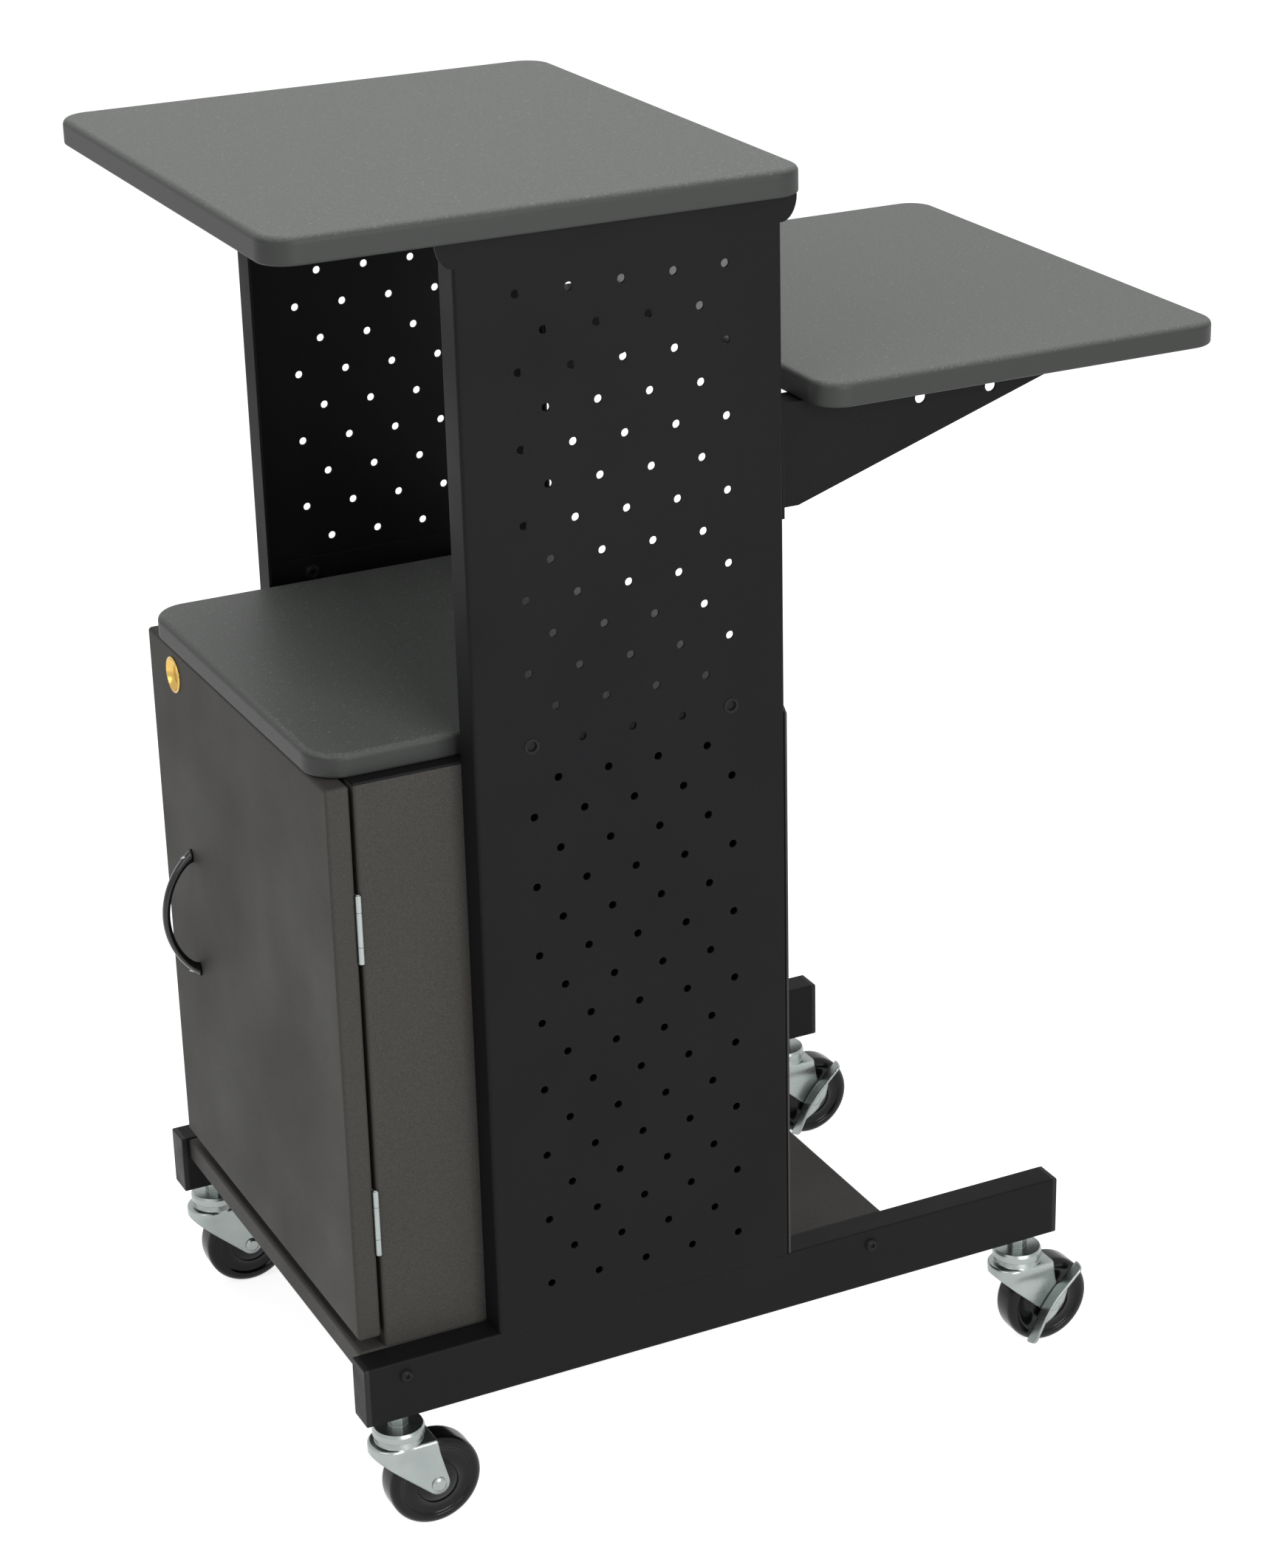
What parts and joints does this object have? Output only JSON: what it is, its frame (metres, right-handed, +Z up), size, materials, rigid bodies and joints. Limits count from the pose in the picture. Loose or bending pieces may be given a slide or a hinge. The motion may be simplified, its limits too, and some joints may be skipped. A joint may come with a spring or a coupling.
{
  "type": "mobile lectern podium",
  "caption": "Mobile lectern podium on casters with a locking cabinet, a top shelf and a lower extension shelf between perforated side panels.",
  "frame": {"origin": "middle of the footprint on the floor", "axes": "+Z up, the cabinet door faces -Y, the extension shelf is at +Y, +X is the side of the door hinges"},
  "size_m": [0.4646, 0.769, 1.036],
  "materials": {
    "frame_black": "textured powder coat",
    "cabinet_charcoal": "textured powder coat",
    "shelf_grey": "fine speckled laminate",
    "black_screw": "black oxide",
    "zinc": "zinc plated",
    "black_plastic": "moulded",
    "gloss_black": "glossy",
    "wheel_black": "moulded, glossy",
    "brass": "polished"
  },
  "bodies": {
    "stand": {"back_panel_screws": "zinc", "bottom_tray": "cabinet_charcoal", "bracket_bolts": "black_screw", "bracket_nuts": "zinc", "cabinet_back_panel": "cabinet_charcoal", "cabinet_base_screws": "zinc", "cabinet_header": "cabinet_charcoal", "cabinet_side_left": "cabinet_charcoal", "cabinet_side_right": "cabinet_charcoal", "cabinet_top": "shelf_grey", "cabinet_top_screws": "zinc", "caster_stem_front_left": "zinc", "caster_stem_front_right": "zinc", "caster_stem_nuts": "zinc", "caster_stem_rear_left": "zinc", "caster_stem_rear_right": "zinc", "extension_shelf": "shelf_grey", "extension_shelf_screws": "zinc", "hinge_leaves_cabinet": "zinc", "hinge_pins": "zinc", "leg_tube_left": "frame_black", "leg_tube_right": "frame_black", "rail_bolts": "black_screw", "rail_rivet_nuts": "black_screw", "shelf_bracket_left": "frame_black", "shelf_bracket_right": "frame_black", "side_panel_left": "frame_black", "side_panel_right": "frame_black", "support_rail_left": "frame_black", "support_rail_right": "frame_black", "top_shelf": "shelf_grey", "top_shelf_screws": "zinc", "tray_bolts": "black_screw", "tray_nuts": "zinc", "tube_end_caps": "black_plastic"},
    "door": {"door_panel": "cabinet_charcoal", "door_handle": "gloss_black", "handle_screws": "zinc", "hinge_leaves_door": "zinc", "lock_cup": "brass", "lock_body": "brass", "lock_nut": "zinc"},
    "lock": {"lock_plug": "brass", "lock_cam": "zinc", "lock_cam_screw": "zinc"},
    "caster_front_right": {"caster_fork_front_right": "zinc", "caster_axle_front_right": "zinc"},
    "wheel_front_right": {"caster_wheel_front_right": "wheel_black"},
    "caster_front_left": {"caster_fork_front_left": "zinc", "caster_axle_front_left": "zinc"},
    "wheel_front_left": {"caster_wheel_front_left": "wheel_black"},
    "caster_rear_right": {"caster_fork_rear_right": "zinc", "caster_axle_rear_right": "zinc"},
    "wheel_rear_right": {"caster_wheel_rear_right": "wheel_black"},
    "brake_rear_right": {"brake_lever_rear_right": "zinc"},
    "caster_rear_left": {"caster_fork_rear_left": "zinc", "caster_axle_rear_left": "zinc"},
    "wheel_rear_left": {"caster_wheel_rear_left": "wheel_black"},
    "brake_rear_left": {"brake_lever_rear_left": "zinc"}
  },
  "joints": [
    {"name": "door_hinge", "type": "hinge", "parent": "stand", "child": "door", "pos_m": [0.1955, -0.3345, 0.386], "axis": [0, 0, 1], "range_deg": [0, 170]},
    {"name": "lock_turn", "type": "hinge", "parent": "door", "child": "lock", "pos_m": [-0.1349, -0.3545, 0.6016], "axis": [0, -1, 0], "range_deg": [0, 90]},
    {"name": "swivel_front_right", "type": "hinge", "parent": "stand", "child": "caster_front_right", "pos_m": [0.2073, -0.3315, 0.085], "axis": [0, 0, 1], "continuous": true},
    {"name": "roll_front_right", "type": "hinge", "parent": "caster_front_right", "child": "wheel_front_right", "pos_m": [0.2073, -0.3065, 0.0381], "axis": [1, 0, 0], "continuous": true},
    {"name": "swivel_front_left", "type": "hinge", "parent": "stand", "child": "caster_front_left", "pos_m": [-0.2073, -0.3315, 0.085], "axis": [0, 0, 1], "continuous": true},
    {"name": "roll_front_left", "type": "hinge", "parent": "caster_front_left", "child": "wheel_front_left", "pos_m": [-0.2073, -0.3065, 0.0381], "axis": [1, 0, 0], "continuous": true},
    {"name": "swivel_rear_right", "type": "hinge", "parent": "stand", "child": "caster_rear_right", "pos_m": [0.2073, 0.229, 0.085], "axis": [0, 0, 1], "continuous": true},
    {"name": "roll_rear_right", "type": "hinge", "parent": "caster_rear_right", "child": "wheel_rear_right", "pos_m": [0.2073, 0.254, 0.0381], "axis": [1, 0, 0], "continuous": true},
    {"name": "brake_rear_right", "type": "hinge", "parent": "caster_rear_right", "child": "brake_rear_right", "pos_m": [0.2073, 0.254, 0.0381], "axis": [1, 0, 0], "range_deg": [-30, 0]},
    {"name": "swivel_rear_left", "type": "hinge", "parent": "stand", "child": "caster_rear_left", "pos_m": [-0.2073, 0.229, 0.085], "axis": [0, 0, 1], "continuous": true},
    {"name": "roll_rear_left", "type": "hinge", "parent": "caster_rear_left", "child": "wheel_rear_left", "pos_m": [-0.2073, 0.254, 0.0381], "axis": [1, 0, 0], "continuous": true},
    {"name": "brake_rear_left", "type": "hinge", "parent": "caster_rear_left", "child": "brake_rear_left", "pos_m": [-0.2073, 0.254, 0.0381], "axis": [1, 0, 0], "range_deg": [-30, 0]}
  ]
}
